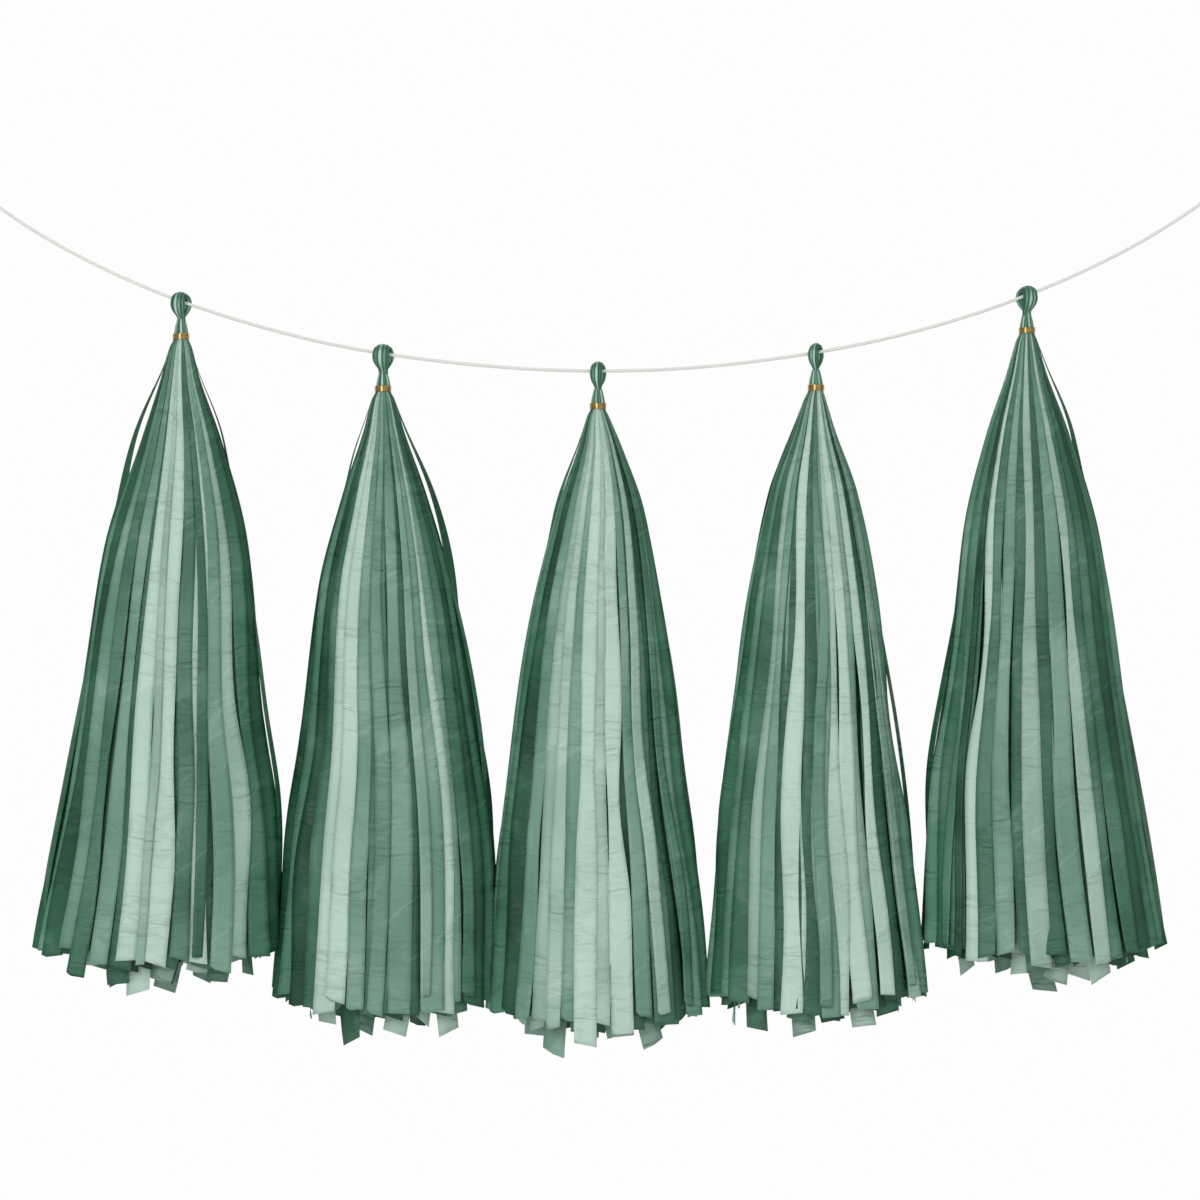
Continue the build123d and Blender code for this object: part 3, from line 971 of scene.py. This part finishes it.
    def under(self, name):
        """The middle or the inner sheet, whose ends splay and hang lower."""
        surface = Surface()
        self.cut_width = 0
        layers, splay, curl, slot = under_sheets[name]
        for count, share, longer, darkest, lightest in layers:
            for n in range(count):
                turn = full_turn * (n + 0.5 + self.chance.uniform(-0.2, 0.2)) / count
                end = self.hem(turn) + longer * self.chance.choice((0, 0.5, 1, 1.5))
                self.hang(surface, turn, full_width, self.chance.uniform(darkest, lightest), end,
                          share=share, tilt=self.chance.uniform(0.06, 0.12), rows=58, columns=3,
                          flare=self.chance.uniform(-splay, splay),
                          lift=self.chance.uniform(-0.4, 0.4) * splay, curl=curl, ragged=0.18)
        self.sheet(surface, name, slot)

    def sheet(self, surface, name, slot):
        """Makes the strips a piece of thin paper that stands for one of the sheets."""
        number = self.number
        made = surface.piece(f"tassel_{number}_{name}_strips", strip_paper, f"tassel_{number}_skirt", slot)
        skin = made.modifiers.new("paper_thickness", "SOLIDIFY")
        skin.thickness = paper_thickness * mm
        skin.offset = 0
        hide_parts(f"tassel_{number}_{name}_sheet")


# Camera
camera_data = bpy.data.cameras.new("camera")
camera_data.sensor_width = sensor_width
camera_data.lens = sensor_width * camera_distance / frame_width
camera_data.clip_end = 100
camera = bpy.data.objects.new("camera", camera_data)
camera.location = (frame_middle[0] * mm, -camera_distance * mm, frame_middle[1] * mm)
camera.rotation_euler = (math.pi / 2, 0, 0)
bpy.context.collection.objects.link(camera)
bpy.context.scene.camera = camera

# Cord, its knots and its hanging loops
twine = cotton_twine()
route = nurbs_path([(x, 0, z) for x, z in cord_route])
cord = laid_twine("twisted_cord", route, twine)
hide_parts("cord")
cord_ends = []
for side, end, inside in (("left", cord_route[0], cord_route[1]), ("right", cord_route[-1], cord_route[-2])):
    start = Vector((end[0], 0, end[1]))
    away = (start - Vector((inside[0], 0, inside[1]))).normalized()
    across = Vector((0, 1, 0)).cross(away)
    wraps = []
    turns = knot_wraps * wrap_points
    for n in range(turns + 1):
        turn = full_turn * n / wrap_points
        along = cord_diameter / 2 + (knot_length - cord_diameter) * n / turns
        wraps.append(start + along * away + wrap_radius * (
            math.cos(turn) * across + math.sin(turn) * Vector((0, 1, 0))))
    knot = laid_twine(f"wrapped_knot_{side}", nurbs_path(wraps), twine)
    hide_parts(f"knot_{side}")
    points = [start + (knot_length + far) * away + sideways * across for far, sideways in loop_route]
    loop = laid_twine(f"tied_loop_{side}", nurbs_path(points), twine)
    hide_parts(f"hanging_loop_{side}")
    cord_ends += [knot, loop]

# Tassels, each hung where the cord passes through its head
strip_paper = satin_paper("satin_tissue_paper_crumpled_and_cut", True)
twisted_paper = satin_paper("satin_tissue_paper_twisted", False)
brass = brass_strip()
for number in reaches:
    low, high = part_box(f"tassel_{number}_head_loop")
    place = ((low[0] + high[0]) / 2 / mm, 0, high[2] / mm - head_rise)
    near = min(range(len(route) - 1), key=lambda n: abs(route[n].x - place[0]))
    slope = (route[near + 1].z - route[near].z) / (route[near + 1].x - route[near].x)
    head_loop(number, place, slope)
    neck(number, place)
    skirt = Skirt(number, place)
    skirt.outer()
    skirt.under("middle")
    skirt.under("inner")
    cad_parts[f"tassel_{number}_band"].material_slots[0].material = brass

# Floor, a soft pale disc that fades out into the backdrop and doesn't hide the garland from below
bpy.ops.mesh.primitive_circle_add(vertices=96, radius=floor_radius * mm, fill_type="NGON",
                                  location=(frame_middle[0] * mm, 0, -floor_drop * mm))
floor = bpy.context.object
floor.name = "floor"
floor_paint, floor_tree, floor_shader = new_material("matt_white_floor")
floor_shader.inputs["Base Color"].default_value = hex_colour("f6f6f4")
floor_shader.inputs["Roughness"].default_value = 0.9
floor_place = add_node(floor_tree, "ShaderNodeTexCoord")
floor_far = add_node(floor_tree, "ShaderNodeVectorMath", {"operation": "LENGTH"}, {
    0: floor_place.outputs["Object"]})
floor_fade = add_node(floor_tree, "ShaderNodeMapRange", {"interpolation_type": "SMOOTHSTEP"}, {
    "Value": floor_far.outputs["Value"], "From Min": floor_solid_share * floor_radius * mm,
    "From Max": floor_radius * mm, "To Min": 0.0, "To Max": 1.0})
floor_side = add_node(floor_tree, "ShaderNodeNewGeometry")
floor_open = add_node(floor_tree, "ShaderNodeMath", {"operation": "MAXIMUM"}, {
    0: floor_fade.outputs[0], 1: floor_side.outputs["Backfacing"]})
floor_clear = add_node(floor_tree, "ShaderNodeBsdfTransparent")
floor_mix = add_node(floor_tree, "ShaderNodeMixShader", inputs={
    0: floor_open.outputs[0], 1: floor_shader.outputs[0], 2: floor_clear.outputs[0]})
floor_output = next(n for n in floor_tree.nodes if n.type == "OUTPUT_MATERIAL")
floor_tree.links.new(floor_mix.outputs[0], floor_output.inputs["Surface"])
floor.data.materials.append(floor_paint)

# Light: an even pale room and the lamps. The camera sees a white backdrop instead of the room, and
# reflections show it behind the garland.
world = bpy.data.worlds.new("studio")
world.use_nodes = True
bpy.context.scene.world = world
sky = world.node_tree
sky.nodes.clear()
rays = add_node(sky, "ShaderNodeLightPath")
room = add_node(sky, "ShaderNodeBackground", inputs={
    "Color": hex_colour("ffffff"), "Strength": room_strength})
white = add_node(sky, "ShaderNodeBackground", inputs={"Color": hex_colour("fdfdfd"), "Strength": 1.0})
direction = add_node(sky, "ShaderNodeTexCoord")
parts = add_node(sky, "ShaderNodeSeparateXYZ", inputs={0: direction.outputs["Generated"]})
behind = add_node(sky, "ShaderNodeMapRange", inputs={
    "Value": parts.outputs["Y"], "From Min": 0.1, "From Max": 0.7, "To Min": 0.0, "To Max": 1.0})
mirrored = add_node(sky, "ShaderNodeMath", {"operation": "MULTIPLY"}, {
    0: rays.outputs["Is Glossy Ray"], 1: behind.outputs[0]})
seen = add_node(sky, "ShaderNodeMath", {"operation": "MAXIMUM"}, {
    0: rays.outputs["Is Camera Ray"], 1: mirrored.outputs[0]})
through = add_node(sky, "ShaderNodeMath", {"operation": "MAXIMUM"}, {
    0: seen.outputs[0], 1: rays.outputs["Is Transmission Ray"]})
air = add_node(sky, "ShaderNodeMixShader", inputs={
    0: through.outputs[0], 1: room.outputs[0], 2: white.outputs[0]})
add_node(sky, "ShaderNodeOutputWorld", inputs={"Surface": air.outputs[0]})

garland_middle = Vector((frame_middle[0] * mm, 0, frame_middle[1] * mm))
for name, spot, size, power in lamps:
    lamp_data = bpy.data.lights.new(name, "AREA")
    lamp_data.size = size
    lamp_data.energy = power
    lamp = bpy.data.objects.new(name, lamp_data)
    lamp.location = spot
    lamp.rotation_euler = (garland_middle - Vector(spot)).to_track_quat("-Z", "Y").to_euler()
    bpy.context.collection.objects.link(lamp)

bpy.context.scene.view_settings.view_transform = "Standard"
